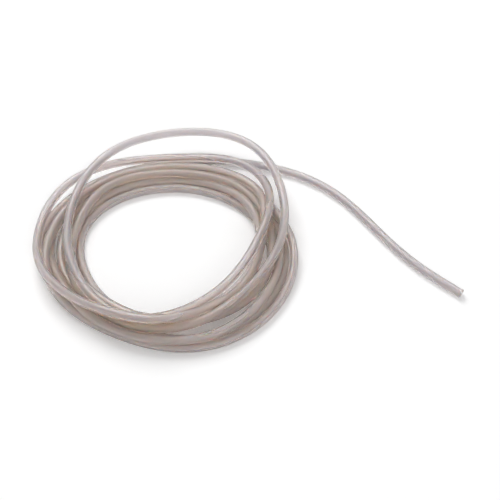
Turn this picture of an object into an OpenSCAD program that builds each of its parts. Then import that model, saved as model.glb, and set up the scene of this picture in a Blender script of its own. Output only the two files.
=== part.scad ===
// Silicone tubing coil: one length of soft tube, wound by hand into a flat ring of turns.
// The top turn is looser than the rest, and one end runs out from behind the ring.
// Millimetres, +Z up, standing on z = 0, origin under the middle of the whole thing.

/* [Tube] */
// Outside diameter of the tube
tube_od = 4; // [3:0.25:6]
// Diameter of the bore
tube_bore = 2; // [1:0.25:2.5]
// Depth of the straight bore kept at the free end, for a barb
bore_depth = 10; // [6:1:13]

/* [Coil] */
// Radius of the open middle of the coil
coil_inner_r = 39; // [32:1:50]
// Width of the band of turns, from the open middle to the outermost turn
coil_band = 22; // [17:1:26]
// Height of the turns that lie under the loose top turn
coil_height = 11; // [8:1:16]

/* [Loose top turn] */
// How far the top turn lies outside the open middle at the front
top_front_out = 3; // [2:1:6]
// How far it lies outside the open middle on the left
top_left_out = 7; // [3:1:12]
// How far it lies outside the open middle on the right, above the tail's side
top_right_out = 15; // [8:1:16]
// How far its back stands out behind the ring
top_back_past = 11; // [6:1:14]
// How far the top turn sags where it hangs out behind the ring
top_sag = 3; // [0:0.5:4]

/* [Tail] */
// Direction in which the tail starts along the ring, from the right hand side
tail_start_angle = 75; // [70:1:85]

/* [Hidden] */
$fn = 96;

tube_r = tube_od / 2;
touch = 0.1;                     // clearance where one stretch lies on another
coil_outer_r = coil_inner_r + coil_band;
top_round = tube_od;             // rounding of the upper edges of the band of turns
foot_round = tube_r;             // rounding of its lower edges, a tube's own radius
tube_sides = 10;
top_rings = 36;
straight_len = 14;               // straight stretch at the cut end
silicone = [0.79, 0.76, 0.76];

// The route of the tail: steps along the floor from its start, each from the first point
TAIL_STEPS = [[0, 0], [8, -2], [16, -4], [25, -6], [34, -9], [43, -12], [51, -16], [58, -21],
              [64, -27], [69, -33], [73, -39], [77, -45], [81, -51], [86, -58], [90, -64],
              [94, -69], [98, -73], [102, -76.5]];
tail_r = coil_outer_r + tube_r + touch;
tail_start = tail_r * [cos(tail_start_angle), sin(tail_start_angle)];
tail_points = [for (s = TAIL_STEPS) [tail_start.x + s.x, tail_start.y + s.y, tube_r]];
tail_last = tail_points[len(tail_points) - 1];
tail_heading = atan2(-9, 11);
tail_dir = [cos(tail_heading), sin(tail_heading)];
tail_end = [tail_last.x, tail_last.y] + straight_len * tail_dir;

// The route of the top turn: an oval that lies on the ring and hangs out behind it
top_left = -(coil_inner_r + top_left_out);
top_right = coil_inner_r + top_right_out;
top_front = -(coil_inner_r + top_front_out);
top_back = coil_outer_r + top_back_past;
top_half_x = (top_right - top_left) / 2;
top_half_y = (top_back - top_front) / 2;
top_shift_x = (top_right + top_left) / 2;
top_shift_y = (top_back + top_front) / 2;
top_z = coil_height + tube_r + touch;
function top_point(a) =
    let (x = top_shift_x + top_half_x * cos(a), y = top_shift_y + top_half_y * sin(a),
         past = max(0, norm([x, y]) - coil_outer_r - tube_r),
         full = top_back_past - tube_r)
    [x, y, top_z - top_sag * min(1, past / full)];
top_points = [for (i = [0 : top_rings - 1]) top_point(i * 360 / top_rings)];

// The middle of the whole thing's box, which becomes the origin
right_edge = max(coil_outer_r, tail_end.x + tube_r * abs(tail_dir.y));
back_edge = top_back + tube_r;
mid_x = (right_edge - coil_outer_r) / 2;
mid_y = (back_edge - coil_outer_r) / 2;

function unit(v) = v / norm(v);

// One ring of a tube: its points about p, square to the heading d, the first one level with p
function tube_ring(p, d) =
    let (side = unit(cross(d, [0, 0, 1])), up = cross(side, d))
    [for (k = [0 : tube_sides - 1])
        p + tube_r * (cos(k * 360 / tube_sides) * side + sin(k * 360 / tube_sides) * up)];

// The walls between ring i and ring j
function tube_wall(i, j) =
    [for (k = [0 : tube_sides - 1])
        let (m = (k + 1) % tube_sides)
        [i * tube_sides + k, i * tube_sides + m, j * tube_sides + m, j * tube_sides + k]];

// A tube along an open route, closed by flat ends
module open_tube(points, last_dir) {
    n = len(points);
    headings = [for (i = [0 : n - 1])
        i == n - 1 ? last_dir : i == 0 ? unit(points[1] - points[0]) : unit(points[i + 1] - points[i - 1])];
    corners = [for (i = [0 : n - 1]) each tube_ring(points[i], headings[i])];
    walls = [for (i = [0 : n - 2]) each tube_wall(i, i + 1)];
    first_end = [for (k = [tube_sides - 1 : -1 : 0]) k];
    last_end = [for (k = [0 : tube_sides - 1]) (n - 1) * tube_sides + k];
    polyhedron(points = corners, faces = concat(walls, [first_end], [last_end]), convexity = 8);
}

// A tube along a closed route
module closed_tube(points) {
    n = len(points);
    corners = [for (i = [0 : n - 1])
        each tube_ring(points[i], unit(points[(i + 1) % n] - points[(i + n - 1) % n]))];
    walls = [for (i = [0 : n - 1]) each tube_wall(i, (i + 1) % n)];
    polyhedron(points = corners, faces = walls, convexity = 8);
}

// The section of the band of turns, flat underneath and rounded as the outer turns are
module band_section() {
    foot_x = [coil_inner_r + foot_round, coil_outer_r - foot_round];
    top_x = [coil_inner_r + top_round, coil_outer_r - top_round];
    translate([foot_x[0], 0]) square([foot_x[1] - foot_x[0], coil_height / 2]);
    translate([top_x[0], coil_height / 2]) square([top_x[1] - top_x[0], coil_height / 2]);
    translate([coil_inner_r, foot_round]) square([coil_band, coil_height - foot_round - top_round]);
    for (x = foot_x) translate([x, foot_round]) circle(r = foot_round);
    for (x = top_x) translate([x, coil_height - top_round]) circle(r = top_round);
}

// Moves a piece from the ring's own centre to its place about the origin
module in_place() {
    translate([-mid_x, -mid_y, 0]) children();
}

// The ring of turns that lie on each other
module coil() {
    color(silicone) in_place() rotate_extrude() band_section();
}

// The loose turn that lies on the ring
module top_turn() {
    color(silicone) in_place() closed_tube(top_points);
}

// The stretch that runs out over the floor, with the true bore in its cut end
module tail() {
    color(silicone) in_place() {
        open_tube(tail_points, [tail_dir.x, tail_dir.y, 0]);
        translate(tail_last) rotate([0, 90, tail_heading]) difference() {
            cylinder(h = straight_len, r = tube_r);
            translate([0, 0, straight_len - bore_depth]) cylinder(h = bore_depth + 1, d = tube_bore);
        }
    }
}

coil();
top_turn();
tail();
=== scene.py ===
"""A loose coil of limp, milky silicone tubing, lying on a white table.

The whole tube is one mesh: an outer wall, a bore that runs right through it,
and a square cut ring at each end.  Its line is given as a radius and a height
for every 30 degrees of each turn, and then laid down: strands that would share
a place push each other aside until each one rests on the table or on its
neighbours.
"""

from __future__ import annotations

import logging
import math
from dataclasses import dataclass, field
from enum import Enum

import bmesh
import bpy
import numpy as np
from mathutils import Matrix, Vector


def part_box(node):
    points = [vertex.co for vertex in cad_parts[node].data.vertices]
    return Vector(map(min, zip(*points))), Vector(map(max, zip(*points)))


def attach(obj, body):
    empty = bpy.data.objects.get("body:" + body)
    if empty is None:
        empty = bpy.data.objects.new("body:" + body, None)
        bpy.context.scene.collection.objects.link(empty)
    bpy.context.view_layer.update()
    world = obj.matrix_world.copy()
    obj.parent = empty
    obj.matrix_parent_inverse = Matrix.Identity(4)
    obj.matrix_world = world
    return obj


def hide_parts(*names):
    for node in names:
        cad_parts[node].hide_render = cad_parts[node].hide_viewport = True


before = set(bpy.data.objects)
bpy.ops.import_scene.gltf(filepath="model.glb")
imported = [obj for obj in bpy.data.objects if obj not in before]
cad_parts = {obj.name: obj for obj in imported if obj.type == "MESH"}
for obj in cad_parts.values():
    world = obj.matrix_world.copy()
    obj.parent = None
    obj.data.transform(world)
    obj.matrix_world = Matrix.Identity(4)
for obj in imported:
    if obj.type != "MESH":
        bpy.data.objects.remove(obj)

LOG = logging.getLogger("tubing_coil")
MM = 0.001
WHITE = (1.0, 1.0, 1.0, 1.0)

Colour = tuple[float, float, float]
Point = tuple[float, float, float]
Station = tuple[float, float]


class Wall(Enum):
    """The two walls of the tube; the bore's faces look the other way."""

    OUTSIDE = 1
    BORE = -1


class Lamp(Enum):
    """The soft boxes of the studio, by where they hang."""

    KEY = "over the far left corner"
    FILL = "in front, to the right"


@dataclass(frozen=True)
class SiliconeFinish:
    """Translucent platinum silicone: clear enough to see a neighbour through.

    The tint of one wall is nearly grey.  Light that has crossed many walls comes out
    warm, because the rubber takes a little more blue than red, and deep in the bundle
    that warm light is also painted into the colour.
    """

    # a single strand: its tint, the faint clouds in it, and how clear it is
    body: Colour = (0.808, 0.786, 0.806)
    cloud: Colour = (0.788, 0.766, 0.786)
    cloud_scale: float = 55.0
    cloud_detail: float = 3.0
    clarity: float = 0.845
    haze_rough: float = 0.29
    # deep in the bundle: a painted warm light mixed into the colour, and the sharper
    # view through its walls
    painted_bundle_light: Colour = (1.0, 0.889, 0.815)
    crowd_rough: float = 0.2
    # the skin
    ior: float = 1.41
    specular: float = 0.15
    gloss: float = 0.15
    gloss_rough: float = 0.2
    # the milk in the rubber: its share, each colour's reach, and their metres
    milk: float = 1.0
    milk_depth: Colour = (1.0, 0.72, 0.5)
    milk_reach: float = 0.0015
    # what the rubber takes from the light inside it, for each metre
    depth_tint: Colour = (0.93, 0.86, 0.81)
    depth: float = 190.0

    def material(self) -> bpy.types.Material:
        """Build the rubber's shader.

        Returns:
            The material for the tubing.
        """
        mat = bpy.data.materials.new("milky_silicone")
        mat.use_nodes = True
        nodes, links = mat.node_tree.nodes, mat.node_tree.links
        skin = nodes["Principled BSDF"]
        skin.inputs["IOR"].default_value = self.ior
        skin.inputs["Specular IOR Level"].default_value = self.specular
        skin.inputs["Transmission Weight"].default_value = self.clarity
        skin.inputs["Subsurface Weight"].default_value = self.milk
        skin.inputs["Subsurface Radius"].default_value = self.milk_depth
        skin.inputs["Subsurface Scale"].default_value = self.milk_reach
        skin.inputs["Coat Weight"].default_value = self.gloss
        skin.inputs["Coat Roughness"].default_value = self.gloss_rough
        skin.inputs["Coat IOR"].default_value = self.ior

        place = nodes.new("ShaderNodeTexCoord")
        haze = nodes.new("ShaderNodeTexNoise")
        haze.inputs["Scale"].default_value = self.cloud_scale
        haze.inputs["Detail"].default_value = self.cloud_detail
        links.new(place.outputs["Object"], haze.inputs["Vector"])
        tone = nodes.new("ShaderNodeMix")
        tone.data_type = "RGBA"
        tone.inputs["A"].default_value = (*self.body, 1.0)
        tone.inputs["B"].default_value = (*self.cloud, 1.0)
        links.new(haze.outputs["Fac"], tone.inputs["Factor"])
        # painted warm light: where strands crowd, the colour is mixed towards a warm
        # tint that stands in for light that has crossed many walls; the same mask sets
        # the roughness
        crowd_painted_light = nodes.new("ShaderNodeAttribute")
        crowd_painted_light.attribute_name = "crowd_painted_light"
        painted_warm_light = nodes.new("ShaderNodeMix")
        painted_warm_light.data_type = "RGBA"
        painted_warm_light.inputs["B"].default_value = (*self.painted_bundle_light, 1.0)
        links.new(crowd_painted_light.outputs["Fac"], painted_warm_light.inputs["Factor"])
        links.new(tone.outputs["Result"], painted_warm_light.inputs["A"])
        links.new(painted_warm_light.outputs["Result"], skin.inputs["Base Color"])

        rough = nodes.new("ShaderNodeMapRange")
        rough.inputs["To Min"].default_value = self.haze_rough
        rough.inputs["To Max"].default_value = self.crowd_rough
        links.new(crowd_painted_light.outputs["Fac"], rough.inputs["Value"])
        links.new(rough.outputs["Result"], skin.inputs["Roughness"])

        depth = nodes.new("ShaderNodeVolumeAbsorption")
        depth.inputs["Color"].default_value = (*self.depth_tint, 1.0)
        depth.inputs["Density"].default_value = self.depth
        links.new(depth.outputs["Volume"], nodes["Material Output"].inputs["Volume"])
        return mat


def seen_directly(tree: bpy.types.NodeTree) -> bpy.types.NodeSocket:
    """Tell what is looked at, or mirrored, or seen through, from what is lit.

    Args:
        tree: The node tree to add the test to.

    Returns:
        A socket that is 1 for camera, glossy and transmission rays, else 0.
    """
    rays = tree.nodes.new("ShaderNodeLightPath")
    seen = rays.outputs["Is Camera Ray"]
    for kind in ("Is Glossy Ray", "Is Transmission Ray"):
        either = tree.nodes.new("ShaderNodeMath")
        either.operation = "MAXIMUM"
        tree.links.new(seen, either.inputs[0])
        tree.links.new(rays.outputs[kind], either.inputs[1])
        seen = either.outputs["Value"]
    return seen


@dataclass(frozen=True)
class TableFinish:
    """A clean white sheet of matt board, a little brighter seen than lit."""

    board: Colour = (0.98, 0.98, 0.98)
    rough: float = 0.9
    lift: float = 0.12

    def material(self) -> bpy.types.Material:
        """Build the board's matt white.

        Returns:
            The material for the floor.
        """
        mat = bpy.data.materials.new("white_board")
        mat.use_nodes = True
        nodes, links = mat.node_tree.nodes, mat.node_tree.links
        skin = nodes["Principled BSDF"]
        skin.inputs["Base Color"].default_value = (*self.board, 1.0)
        skin.inputs["Roughness"].default_value = self.rough
        skin.inputs["Specular IOR Level"].default_value = 0.0
        skin.inputs["Emission Color"].default_value = WHITE

        seen = seen_directly(mat.node_tree)
        lift = nodes.new("ShaderNodeMath")
        lift.operation = "MULTIPLY"
        lift.inputs[1].default_value = self.lift
        links.new(seen, lift.inputs[0])
        links.new(lift.outputs["Value"], skin.inputs["Emission Strength"])
        return mat


@dataclass
class Tail:
    """The free end of the tube, from the coil's far side out to the right.

    Each step is a place in mm, across and away, from where the tail starts by
    the ring.  The first two are left out, because the turns lie there, and the
    last one is followed by a straight end.
    """

    start: Station = (16.33, 60.95)
    steps: tuple[Station, ...] = (
        (0, 0), (8, -2), (16, -4), (25, -6), (34, -9), (43, -12),
        (51, -16), (58, -21), (64, -27), (69, -33), (73, -39), (77, -45),
        (81, -51), (86, -58), (90, -64), (94, -69), (98, -73), (102, -76.5),
    )  # fmt: skip
    straight: float = 14.0
    heading: Station = (11, -9)
    hidden: int = 2

    def line(self) -> list[Station]:
        """Give the tail's points from its cut end in to the coil.

        Returns:
            Points in millimetres from the ring's middle.
        """
        out = [(self.start[0] + x, self.start[1] + y) for x, y in self.steps]
        size = math.hypot(*self.heading)
        last = out[-1]
        for part in (0.5, 1.0):
            reach = self.straight * part / size
            out.append(
                (last[0] + self.heading[0] * reach, last[1] + self.heading[1] * reach)
            )
        return out[self.hidden :][::-1]


@dataclass
class Winding:
    """The turns, each as 12 stations of (radius in mm, layer) from 0 degrees.

    Directions run counter-clockwise from above, from +X.  Layer 0 lies on the
    table, and each layer is one strand higher, nested into the one below.
    The first turn begins at its fourth station, where the tail comes in.
    """

    stations_a_turn: int = 12
    first: int = 3
    layer: float = 3.45
    end_turn: float = 9.0 + 24.0 / 360.0
    turns: tuple[tuple[Station, ...], ...] = (
        # off the tail, along the back and round the left, under the last loop
        ((56.2, 0), (55.2, 0), (58.2, 0),
         (59, 0), (50, 0), (43.6, 0), (48, 0), (52.4, 0), (53.8, 0)),
        ((53.8, 0), (54, 0), (52, 0), (51.6, 0), (51.4, 0), (54.2, 0),
         (54.2, 0), (50.6, 0.8), (47.2, 1), (50.6, 1), (54, 1), (51.4, 1)),
        ((50.6, 0.9), (50, 0.3), (48.9, 0), (47.5, 0), (47.5, 0), (50.2, 0),
         (48.2, 0), (44.8, 0.2), (41.4, 1), (42.6, 0.3), (42.4, 0), (45.8, 0)),
        # the innermost turn at the back, then the strands that lie over it
        ((48.4, 0), (44.6, 0), (41, 0), (39.4, 0), (41.6, 0), (42.8, 0),
         (40.2, 0), (39, 0), (39.4, 0), (39.4, 0), (37.8, 0), (37.6, 0)),
        ((43, 0.6), (46.2, 1), (45.2, 0.5), (43.4, 0), (43.6, 1), (46.2, 0),
         (44, 0), (42, 0.3), (42.6, 1.9), (43.2, 1.4), (44.4, 1.1), (49, 1)),
        ((47, 1), (48.6, 1), (46.8, 1), (45.4, 1), (47.8, 1), (44.2, 1),
         (42.2, 1), (42, 1.2), (46, 1.3), (46.6, 1.5), (44.4, 2), (45.6, 2)),
        # the long loop that lies clear of the coil at the back, and the turn
        # after it, which hangs out at the left
        ((52, 2.6), (59.2, 3), (72, 2.8), (68.4, 2.6), (62.3, 2.8), (50.2, 2.5),
         (44, 2.1), (42.6, 2.1), (44.4, 2), (44, 2), (37.6, 2), (37.4, 2.2)),
        ((40, 2), (53.2, 2.2), (61.8, 1.6), (54.6, 1), (61, 1), (63, 1.1),
         (56.2, 1.4), (52.6, 2.1), (45, 2.8), (46, 2.8), (43.6, 2), (42.6, 1)),
        # the outermost turn, down to the table at the front, and its cut end
        ((41.6, 1), (51.5, 1.1), (53.2, 1), (49, 1), (50.6, 1), (52.8, 1),
         (53.6, 1), (51, 0.3), (44.8, 0), (51.4, 0), (56.4, 0), (57.8, 0)),
        ((56.6, 0.2), (51.4, 0.9), (47, 1), (46, 1)),
    )  # fmt: skip

    def stations(self, low: float) -> tuple[np.ndarray, np.ndarray]:
        """Turn the table into points.

        Args:
            low: Height of a strand's middle on the table, in mm.

        Returns:
            The points in mm from the ring's middle, and how far each one is
            round the coil, in turns.
        """
        points: list[Point] = []
        where: list[float] = []
        for turn, row in enumerate(self.turns):
            begin = self.first if turn == 0 else 0
            for step, (radius, level) in enumerate(row, begin):
                angle = math.tau * step / self.stations_a_turn
                x, y = radius * math.cos(angle), radius * math.sin(angle)
                points.append((x, y, low + self.layer * level))
                where.append(turn + step / self.stations_a_turn)
        return np.array(points), np.array(where)


def smooth_line(at: np.ndarray, values: np.ndarray, asked: np.ndarray) -> np.ndarray:
    """Run a natural cubic through a list of values.

    Args:
        at: Where each value stands, rising.
        values: One row for each place.
        asked: The places wanted.

    Returns:
        One row for each place asked.
    """
    count = len(at)
    gap = np.diff(at)
    system = np.eye(count)
    right = np.zeros((count, values.shape[1]))
    for i in range(1, count - 1):
        system[i, i - 1 : i + 2] = gap[i - 1], 2 * (gap[i - 1] + gap[i]), gap[i]
        right[i] = 6 * (
            (values[i + 1] - values[i]) / gap[i]
            - (values[i] - values[i - 1]) / gap[i - 1]
        )
    curve = np.linalg.solve(system, right)
    cell = np.clip(np.searchsorted(at, asked, side="right") - 1, 0, count - 2)
    after = (asked - at[cell])[:, None]
    before = (at[cell + 1] - asked)[:, None]
    width = gap[cell][:, None]
    return (
        (curve[cell] * before**3 + curve[cell + 1] * after**3) / (6 * width)
        + (values[cell] / width - curve[cell] * width / 6) * before
        + (values[cell + 1] / width - curve[cell + 1] * width / 6) * after
    )


def even_steps(line: np.ndarray, step: float) -> np.ndarray:
    """Space a line's rows evenly along its length.

    Args:
        line: Rows whose first three columns are a point.
        step: The distance wanted between rows.

    Returns:
        The same line, in rows one step apart.
    """
    run = np.r_[
        0, np.cumsum(np.linalg.norm(np.diff(line[:, :3], axis=0), axis=1))
    ]
    spots = np.linspace(0, run[-1], int(round(run[-1] / step)) + 1)
    return np.column_stack([np.interp(spots, run, column) for column in line.T])


@dataclass
class Settling:
    """Lays the given line down, so that no strand is in another.

    In each round the tube evens out its bends and goes back a little towards
    the line that was chosen, and then strands that are too close part.  The
    last rounds only ease the bends.  Lengths are in mm.
    """

    radius: float
    air: float = 0.03
    # rounds in all, and how often the strands near each other are looked up
    rounds: int = 360
    easing: int = 60
    look_every: int = 12
    look_further: float = 2.5
    batch: int = 256
    # the tube's resistance to a change of bend, and the pull of its own line
    stiff: float = 12.0
    stiff_easing: float = 2.0
    span: int = 30
    hold: float = 0.04
    late_hold: float = 0.35
    # how strands part: rows along the tube that don't count as neighbours,
    # pushes in a round, and the share and drive of each push
    skip: int = 5
    pushes: int = 2
    share: float = 0.25
    drive: float = 2.2

    @property
    def spacing(self) -> float:
        """Give the least distance between the middles of two strands."""
        return 2 * self.radius + self.air

    def kernel(self, stiffness: float) -> np.ndarray:
        """Work out the weights that even out a line's bends.

        Args:
            stiffness: How strongly the line resists a change of bend.

        Returns:
            The weights of a point and of its neighbours on both sides.
        """
        size = 2 * self.span
        bend = np.zeros((2 * size - 1, 2 * size + 1))
        rows = np.arange(2 * size - 1)
        bend[rows, rows], bend[rows, rows + 1], bend[rows, rows + 2] = 1, -2, 1
        whole = np.linalg.inv(np.eye(2 * size + 1) + stiffness * bend.T @ bend)
        weights = whole[size, self.span : -self.span]
        return weights / weights.sum()

    def even_out(self, line: np.ndarray, weights: np.ndarray) -> np.ndarray:
        """Even out a line's bends once, with its ends left free.

        Args:
            line: The tube's points.
            weights: What kernel() gives.

        Returns:
            The points after the pass.
        """
        before = 2 * line[0] - line[self.span : 0 : -1]
        after = 2 * line[-1] - line[-2 : -self.span - 2 : -1]
        long = np.vstack([before, line, after])
        return np.column_stack(
            [np.convolve(column, weights, mode="valid") for column in long.T]
        )

    def neighbours(self, line: np.ndarray) -> tuple[np.ndarray, np.ndarray]:
        """Find the points that are near another stretch of the tube.

        Args:
            line: The tube's points.

        Returns:
            The points, and for each the first point of the stretch by it.
        """
        middle = 0.5 * (line[:-1] + line[1:])
        points, stretches = [], []
        for start in range(0, len(line), self.batch):
            some = line[start : start + self.batch, None]
            reach = np.linalg.norm(some - middle[None], axis=2)
            i, j = np.nonzero(reach < self.spacing + self.look_further)
            far = np.abs(i + start - j) > self.skip
            points.append(i[far] + start)
            stretches.append(j[far])
        return np.concatenate(points), np.concatenate(stretches)

    def part(self, line: np.ndarray, i: np.ndarray, j: np.ndarray) -> np.ndarray:
        """Push strands that are too close away from each other.

        Args:
            line: The tube's points.
            i: Points that are near another stretch.
            j: The first point of the stretch by each.

        Returns:
            The points after one push.
        """
        base = line[j]
        along = line[j + 1] - base
        nearest = np.clip(
            ((line[i] - base) * along).sum(1) / (along * along).sum(1), 0, 1
        )
        away = line[i] - (base + nearest[:, None] * along)
        size = np.linalg.norm(away, axis=1) + 1e-9
        deep = self.spacing - size
        close = deep > 0
        push = (self.share * deep[close] / size[close])[:, None] * away[close]
        nearest = nearest[close][:, None]
        total, touches = np.zeros_like(line), np.zeros(len(line))
        np.add.at(total, i[close], push)
        np.add.at(touches, i[close], 1)
        np.add.at(total, j[close], -push * (1 - nearest))
        np.add.at(total, j[close] + 1, -push * nearest)
        np.add.at(touches, j[close], 0.5)
        np.add.at(touches, j[close] + 1, 0.5)
        return line + total * (self.drive / np.maximum(touches, 1))[:, None]

    def lay(self, wanted: np.ndarray) -> np.ndarray:
        """Settle the line.

        Args:
            wanted: The given line, evenly spaced, in mm.

        Returns:
            The settled line, in mm.
        """
        line = wanted.copy()
        firm = self.kernel(self.stiff)
        soft = self.kernel(self.stiff_easing)
        for count in range(self.rounds + self.easing):
            if count % self.look_every == 0:
                i, j = self.neighbours(line)
            if count < self.rounds:
                early = count < self.rounds / 2
                pull = self.hold * (1.0 if early else self.late_hold)
                line = self.even_out(line, firm)
                line += pull * (wanted - line)
            else:
                line = self.even_out(line, soft)
            for _ in range(self.pushes):
                line = self.part(line, i, j)
                line[:, 2] = np.maximum(line[:, 2], self.radius)
        return line


@dataclass
class Tubing:
    """The tube itself, its line, its mesh and its rubber.

    Lengths are in mm, and outer and bore are radii.
    """

    outer: float = 2.0
    bore: float = 1.0
    outer_sides: int = 24
    bore_sides: int = 14
    draft_step: float = 1.0
    ring_step: float = 2.0
    # the mask of painted warm light: how far off a strand still crowds another, the
    # rings along the tube that don't count, and the length of strand near by that
    # counts as full
    crowd_reach: float = 9.0
    crowd_skip: int = 12
    crowd_full: float = 13.0
    tail: Tail = field(default_factory=Tail)
    winding: Winding = field(default_factory=Winding)
    finish: SiliconeFinish = field(default_factory=SiliconeFinish)

    def middle(self) -> Vector:
        """Find the ring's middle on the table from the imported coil."""
        low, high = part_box("coil")
        return Vector(((low.x + high.x) / 2, (low.y + high.y) / 2, low.z))

    def centreline(self) -> np.ndarray:
        """Lay the tube's centreline from the free end to the inner end.

        Returns:
            Points in metres in the frame, evenly spaced.
        """
        tail = np.array([(x, y, self.outer) for x, y in self.tail.line()])
        turns, where = self.winding.stations(self.outer)
        knots = np.vstack([tail, turns])
        round_at = np.r_[np.zeros(len(tail)), where]
        reach = np.r_[0, np.cumsum(np.linalg.norm(np.diff(knots, axis=0), axis=1))]
        asked = np.arange(0, reach[-1], self.draft_step)
        line = smooth_line(reach, knots, asked)
        turn = np.interp(asked, reach, round_at)
        line = line[turn <= self.winding.end_turn]
        line[:, 2] = np.maximum(line[:, 2], self.outer)
        line = even_steps(line, self.ring_step)
        settled = Settling(radius=self.outer).lay(line)
        return even_steps(settled, self.ring_step) * MM + np.array(self.middle())

    def hoops(self, line: np.ndarray, sides: int, radius: float) -> np.ndarray:
        """Stand a ring of points square to the line at each of its points.

        Args:
            line: The centreline in metres.
            sides: Points in each ring.
            radius: The ring's radius in metres.

        Returns:
            An array of rings, each of points.
        """
        run = np.gradient(line, axis=0)
        run /= np.linalg.norm(run, axis=1)[:, None]
        side = np.cross(run[0], (0.0, 0.0, 1.0))
        side /= np.linalg.norm(side)
        angle = np.linspace(0, math.tau, sides, endpoint=False)
        rings = []
        for spot, ahead in zip(line, run):
            side = side - ahead * (side @ ahead)
            side /= np.linalg.norm(side)
            up = np.cross(side, ahead)
            spokes = np.outer(np.cos(angle), side) + np.outer(np.sin(angle), up)
            rings.append(spot + radius * spokes)
        return np.array(rings)

    def crowd_painted_light_mask(self, line: np.ndarray, hoops: np.ndarray) -> np.ndarray:
        """Work out how closely other strands crowd each wall point: painted warm light.

        Args:
            line: The centreline in metres.
            hoops: The wall's rings of points.

        Returns:
            From 0, open to the air, to 1, deep in the bundle, for each point.
        """
        reach = self.crowd_reach * MM
        step = self.ring_step * MM
        pull = np.zeros_like(line)
        total = np.zeros(len(line))
        number = np.arange(len(line))
        for i, spot in enumerate(line):
            to = line - spot
            far = np.linalg.norm(to, axis=1)
            near = (far < reach) & (np.abs(number - i) > self.crowd_skip)
            weight = (1 - far[near] / reach) * step
            total[i] = weight.sum()
            pull[i] = (to[near] / far[near, None] * weight[:, None]).sum(0)
        normal = hoops - line[:, None]
        normal /= np.linalg.norm(normal, axis=2)[:, :, None]
        # points that face their neighbours get more of the painted warm light
        faced = (total[:, None] + (normal * pull[:, None]).sum(2)) / 2
        return np.clip(faced / (self.crowd_full * MM), 0, 1)

    def faces(self, first: int, rings: int, sides: int, wall: Wall) -> np.ndarray:
        """List the faces of one wall.

        Args:
            first: The wall's first point in the mesh.
            rings: How many rings it has.
            sides: Points in each ring.
            wall: Which wall it is.

        Returns:
            Four point numbers for each face, which looks away from the rubber.
        """
        ring, side = np.meshgrid(np.arange(rings - 1), np.arange(sides), indexing="ij")
        after = (side + 1) % sides
        quads = np.stack(
            [
                first + ring * sides + side,
                first + ring * sides + after,
                first + (ring + 1) * sides + after,
                first + (ring + 1) * sides + side,
            ],
            axis=-1,
        ).reshape(-1, 4)
        return quads[:, :: wall.value]

    def build(self) -> tuple[bpy.types.Object, np.ndarray]:
        """Make the tube's mesh.

        Returns:
            The object and its centreline in metres.
        """
        line = self.centreline()
        rings = len(line)
        outside = self.hoops(line, self.outer_sides, self.outer * MM)
        inside = self.hoops(line, self.bore_sides, self.bore * MM)
        split = rings * self.outer_sides
        points = np.vstack([outside.reshape(-1, 3), inside.reshape(-1, 3)])
        skin = self.faces(0, rings, self.outer_sides, Wall.OUTSIDE)
        bore = self.faces(split, rings, self.bore_sides, Wall.BORE)
        mesh = bpy.data.meshes.new("tubing")
        mesh.from_pydata(points.tolist(), [], np.vstack([skin, bore]).tolist())
        mesh.validate()
        mesh.shade_smooth()
        piece = bpy.data.objects.new("tubing", mesh)
        bpy.context.scene.collection.objects.link(piece)
        # this mask carries the painted warm light of the bundle into the colour, and
        # sets the roughness
        crowd_painted_light_mask = [self.crowd_painted_light_mask(line, hoops).ravel() for hoops in (outside, inside)]
        crowd_painted_light = mesh.attributes.new("crowd_painted_light", "FLOAT", "POINT")
        crowd_painted_light.data.foreach_set("value", np.concatenate(crowd_painted_light_mask).astype(np.float32))
        self.close_ends(piece, split, rings)
        mesh.materials.append(self.finish.material())
        return piece, line

    def close_ends(self, piece: bpy.types.Object, split: int, rings: int) -> None:
        """Fill the flat ring between the walls at each cut end.

        Args:
            piece: The tube.
            split: The bore's first point in the mesh.
            rings: How many rings each wall has.
        """
        form = bmesh.new()
        form.from_mesh(piece.data)
        form.verts.ensure_lookup_table()
        for ring in (0, rings - 1):
            outer = [
                form.verts[ring * self.outer_sides + k] for k in range(self.outer_sides)
            ]
            bore = [
                form.verts[split + ring * self.bore_sides + k]
                for k in range(self.bore_sides)
            ]
            edges = [
                form.edges.get((loop[k], loop[(k + 1) % len(loop)]))
                for loop in (outer, bore)
                for k in range(len(loop))
            ]
            made = bmesh.ops.bridge_loops(form, edges=edges)
            for face in made["faces"]:
                face.smooth = False
            for edge in edges:
                edge.smooth = False
        bmesh.ops.recalc_face_normals(form, faces=form.faces)
        form.to_mesh(piece.data)
        form.free()

    def declare(self, piece: bpy.types.Object) -> None:
        """Tell the frame what the tube is and what it stands for.

        Args:
            piece: The tube.
        """
        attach(piece, "root")
        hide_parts("coil", "top_turn", "tail")


@dataclass(frozen=True)
class SoftBox:
    """A square soft box, turned to the coil, in metres and watts."""

    lamp: Lamp
    place: Point
    side: float
    power: float


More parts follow.
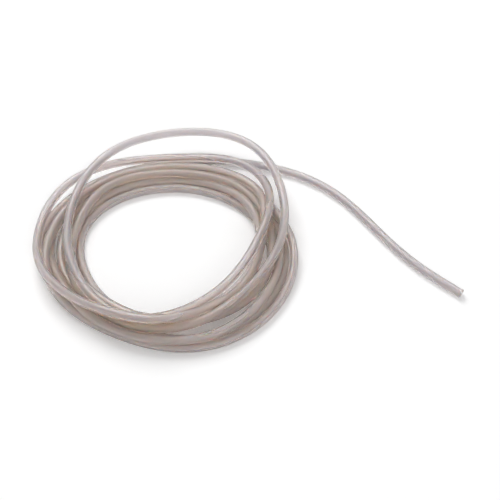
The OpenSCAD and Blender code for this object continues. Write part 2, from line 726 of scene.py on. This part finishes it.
@dataclass
class Studio:
    """The white table, the soft boxes and the camera.

    Lengths are in metres, but for the lens and its sensor, in mm, and the
    tilt is in degrees.
    """

    look_at: Point = (0.00278, -0.0045, 0.0)
    tilt: float = 50.0
    away: float = 0.38
    lens: float = 60.0
    sensor: float = 36.0
    near: float = 0.01
    far: float = 20.0
    sky: float = 0.37
    boxes: tuple[SoftBox, ...] = (
        SoftBox(Lamp.KEY, (-0.36, 0.72, 1.08), side=0.8, power=11.0),
        SoftBox(Lamp.FILL, (0.4, -0.95, 0.6), side=0.9, power=4.2),
    )
    table_half: float = 6.0
    board: TableFinish = field(default_factory=TableFinish)

    def camera(self) -> None:
        """Put the camera in front, looking down at the coil."""
        tilt = math.radians(self.tilt)
        aim = Vector(self.look_at)
        back = Vector((0.0, -math.cos(tilt), math.sin(tilt)))
        data = bpy.data.cameras.new("camera")
        data.lens, data.sensor_width = self.lens, self.sensor
        data.clip_start, data.clip_end = self.near, self.far
        camera = bpy.data.objects.new("camera", data)
        camera.matrix_world = (
            Matrix.Translation(aim + back * self.away)
            @ (-back).to_track_quat("-Z", "Y").to_matrix().to_4x4()
        )
        bpy.context.scene.collection.objects.link(camera)
        bpy.context.scene.camera = camera

    def table(self) -> None:
        """Lay the white board under the coil."""
        mesh = bpy.data.meshes.new("table")
        half = self.table_half
        mesh.from_pydata(
            [(-half, -half, 0), (half, -half, 0), (half, half, 0), (-half, half, 0)],
            [],
            [(0, 1, 2, 3)],
        )
        mesh.materials.append(self.board.material())
        table = bpy.data.objects.new("table", mesh)
        bpy.context.scene.collection.objects.link(table)
        LOG.info("table: %.0f m square", 2 * half)

    def hang(self, box: SoftBox) -> None:
        """Hang one soft box, turned to the coil.

        Args:
            box: The soft box.
        """
        name = box.lamp.name.lower()
        data = bpy.data.lights.new(name, "AREA")
        data.shape, data.size, data.energy = "SQUARE", box.side, box.power
        lamp = bpy.data.objects.new(name, data)
        place = Vector(box.place)
        lamp.matrix_world = (
            Matrix.Translation(place)
            @ (-place).to_track_quat("-Z", "Y").to_matrix().to_4x4()
        )
        bpy.context.scene.collection.objects.link(lamp)
        LOG.info("soft box %s", box.lamp.value)

    def light(self) -> None:
        """Light the table, in a room that looks white but gives less light."""
        world = bpy.data.worlds.new("room")
        world.use_nodes = True
        back = world.node_tree.nodes["Background"]
        back.inputs["Color"].default_value = WHITE
        level = world.node_tree.nodes.new("ShaderNodeMapRange")
        level.inputs["To Min"].default_value = self.sky
        level.inputs["To Max"].default_value = 1.0
        links = world.node_tree.links
        links.new(seen_directly(world.node_tree), level.inputs["Value"])
        links.new(level.outputs["Result"], back.inputs["Strength"])
        bpy.context.scene.world = world
        for box in self.boxes:
            self.hang(box)


def main() -> None:
    """Build the camera, the tubing, the table and the light."""
    logging.basicConfig(level=logging.INFO, format="%(name)s: %(message)s")
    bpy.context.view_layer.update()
    bpy.context.scene.view_settings.view_transform = "Standard"
    studio = Studio()
    studio.camera()
    tubing = Tubing()
    piece, line = tubing.build()
    tubing.declare(piece)
    studio.table()
    studio.light()


if __name__ == "__main__":
    main()
